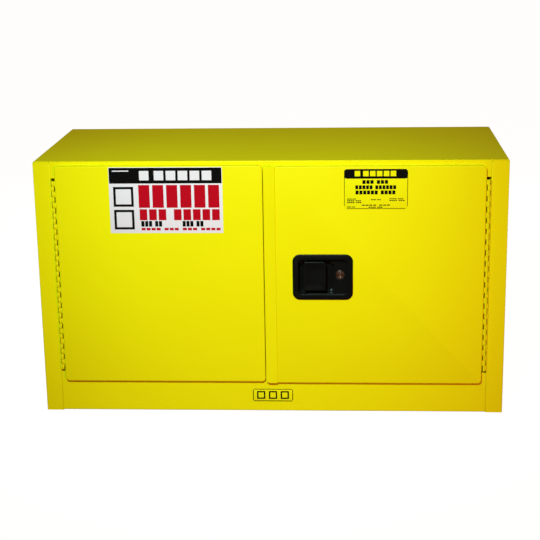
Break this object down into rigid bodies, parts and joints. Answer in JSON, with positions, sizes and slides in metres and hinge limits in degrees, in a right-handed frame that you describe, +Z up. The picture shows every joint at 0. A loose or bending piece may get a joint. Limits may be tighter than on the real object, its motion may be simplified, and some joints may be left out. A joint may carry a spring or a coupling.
{
  "type": "flammable liquids storage cabinet",
  "caption": "Low stacking double-wall steel safety cabinet with two hinged doors, recessed paddle latch, sloping shelf, sump and side vents.",
  "frame": {"origin": "centre of the shell's footprint, on the floor", "axes": "+X to the right seen from the front, +Y to the back, +Z up"},
  "size_m": [1.1267, 0.4702, 0.6096],
  "materials": {
    "yellow_paint": "semi-gloss powder coat",
    "handle_black": "satin",
    "lock_chrome": "polished",
    "zinc": "galvanised",
    "steel": "plain",
    "label_white": "printed film",
    "label_yellow": "printed film"
  },
  "bodies": {
    "cabinet": {"outer_left_side": "yellow_paint", "outer_right_side": "yellow_paint", "outer_top": "yellow_paint", "outer_bottom": "yellow_paint", "outer_back": "yellow_paint", "bottom_rail": "yellow_paint", "inner_left_side": "yellow_paint", "inner_right_side": "yellow_paint", "inner_top": "yellow_paint", "inner_back": "yellow_paint", "sump_pan": "yellow_paint", "left_frame_hinge_leaf": "yellow_paint", "right_frame_hinge_leaf": "yellow_paint", "left_hinge_pin": "steel", "right_hinge_pin": "steel", "left_vent_collar": "steel", "right_vent_collar": "steel", "left_flame_arrester": "steel", "right_flame_arrester": "steel", "shelf_hangers": "zinc", "ground_stud": "steel", "ground_nut": "steel", "top_strike_plate": "steel", "bottom_strike_plate": "steel", "strike_screws": "zinc", "rail_label": "label_yellow"},
    "left_door": {"left_door_skin": "yellow_paint", "left_door_liner": "yellow_paint", "left_door_hinge_leaf": "yellow_paint", "left_door_strike": "steel", "warning_label": "label_white"},
    "right_door": {"right_door_skin": "yellow_paint", "right_door_liner": "yellow_paint", "right_door_hinge_leaf": "yellow_paint", "name_label": "label_yellow", "handle_cup": "handle_black", "paddle_pin": "steel", "lock_body": "lock_chrome", "lock_nut": "steel", "latch_plate": "steel", "latch_plate_screws": "zinc", "cam_pivot": "steel", "bolt_guide": "steel", "top_rod_guide": "steel", "bottom_rod_guide": "steel", "top_spring": "steel", "bottom_spring": "steel", "access_cover": "yellow_paint"},
    "paddle": {"paddle": "handle_black"},
    "lock": {"lock_plug": "lock_chrome", "lock_tongue": "steel"},
    "cam": {"latch_cam": "zinc"},
    "bolt": {"latch_bolt": "steel"},
    "top_rod": {"top_rod": "steel", "top_bullet": "steel"},
    "bottom_rod": {"bottom_rod": "steel", "bottom_bullet": "steel"},
    "shelf": {"shelf": "zinc"},
    "left_vent_plug": {"left_vent_plug": "yellow_paint"},
    "right_vent_plug": {"right_vent_plug": "yellow_paint"}
  },
  "joints": [
    {"name": "left_door_swing", "type": "hinge", "parent": "cabinet", "child": "left_door", "pos_m": [-0.5, -0.2342, 0.3], "axis": [0, 0, 1], "range_deg": [-170, 0]},
    {"name": "right_door_swing", "type": "hinge", "parent": "cabinet", "child": "right_door", "pos_m": [0.5, -0.2342, 0.3], "axis": [0, 0, 1], "range_deg": [0, 170]},
    {"name": "paddle_pull", "type": "hinge", "parent": "right_door", "child": "paddle", "pos_m": [0.082, -0.2356, 0.338], "axis": [0, 0, 1], "range_deg": [-35, 0]},
    {"name": "cam_turn", "type": "hinge", "parent": "right_door", "child": "cam", "pos_m": [0.0984, -0.2096, 0.314], "axis": [0, 1, 0], "range_deg": [0, 30]},
    {"name": "top_rod_slide", "type": "slide", "parent": "right_door", "child": "top_rod", "axis": [0, 0, 1], "range_m": [-0.01294, 0], "stiffness_N_per_m": 300, "springref_m": 0.01, "deforming": ["top_spring"]},
    {"name": "bottom_rod_slide", "type": "slide", "parent": "right_door", "child": "bottom_rod", "axis": [0, 0, 1], "range_m": [0, 0.01294], "stiffness_N_per_m": 300, "springref_m": -0.01, "deforming": ["bottom_spring"]},
    {"name": "bolt_slide", "type": "slide", "parent": "right_door", "child": "bolt", "axis": [1, 0, 0], "range_m": [0, 0.01201]},
    {"name": "lock_turn", "type": "hinge", "parent": "right_door", "child": "lock", "pos_m": [0.1625, -0.21, 0.3405], "axis": [0, 1, 0], "range_deg": [-90, 0]},
    {"name": "shelf_lift", "type": "slide", "parent": "cabinet", "child": "shelf", "axis": [0, 0, 1], "range_m": [0, 0.03]},
    {"name": "left_vent_unplug", "type": "slide", "parent": "cabinet", "child": "left_vent_plug", "axis": [-1, 0, 0], "range_m": [0, 0.04]},
    {"name": "right_vent_unplug", "type": "slide", "parent": "cabinet", "child": "right_vent_plug", "axis": [1, 0, 0], "range_m": [0, 0.04]}
  ],
  "couplings": [
    {"joint": "paddle_pull", "follows": "top_rod_slide", "rad_per_m": 47.199},
    {"joint": "cam_turn", "follows": "top_rod_slide", "rad_per_m": -40.456},
    {"joint": "bottom_rod_slide", "follows": "top_rod_slide", "ratio": -1},
    {"joint": "bolt_slide", "follows": "top_rod_slide", "ratio": -0.92799}
  ]
}
